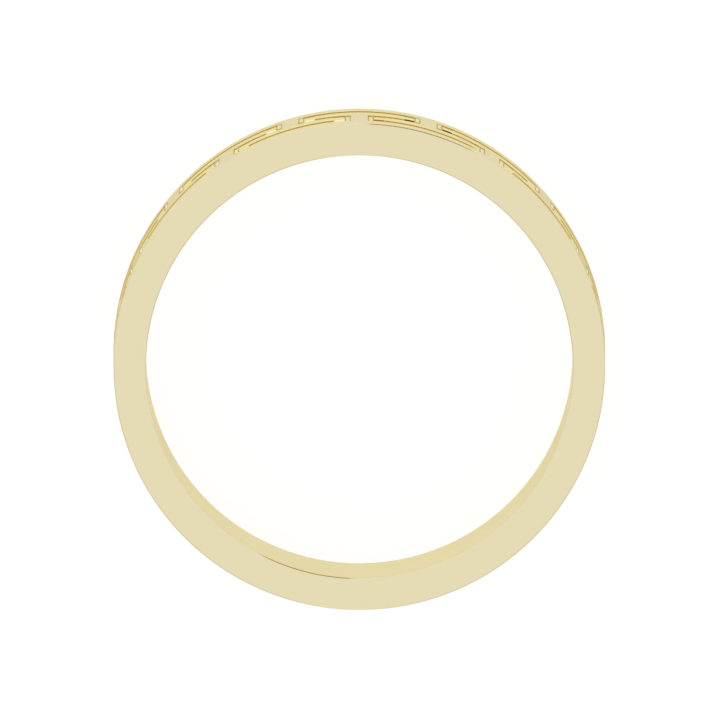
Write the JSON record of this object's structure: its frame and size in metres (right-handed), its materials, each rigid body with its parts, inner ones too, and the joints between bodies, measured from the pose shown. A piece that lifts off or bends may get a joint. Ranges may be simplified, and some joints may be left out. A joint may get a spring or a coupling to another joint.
{
  "type": "greek key band ring",
  "caption": "Flat finger ring of polished gold with an unbroken Greek key line engraved round its outside, lying on its side.",
  "frame": {"origin": "on the ring's axis, at the height of the side face that it lies on", "axes": "+Z along the ring's axis, up from the surface that it lies on; +Y towards the middle of the stem of one upright T"},
  "size_m": [0.02, 0.02, 0.0043],
  "materials": {
    "gold": "polished pale yellow gold"
  },
  "bodies": {
    "root": {"band": "gold"}
  },
  "joints": []
}
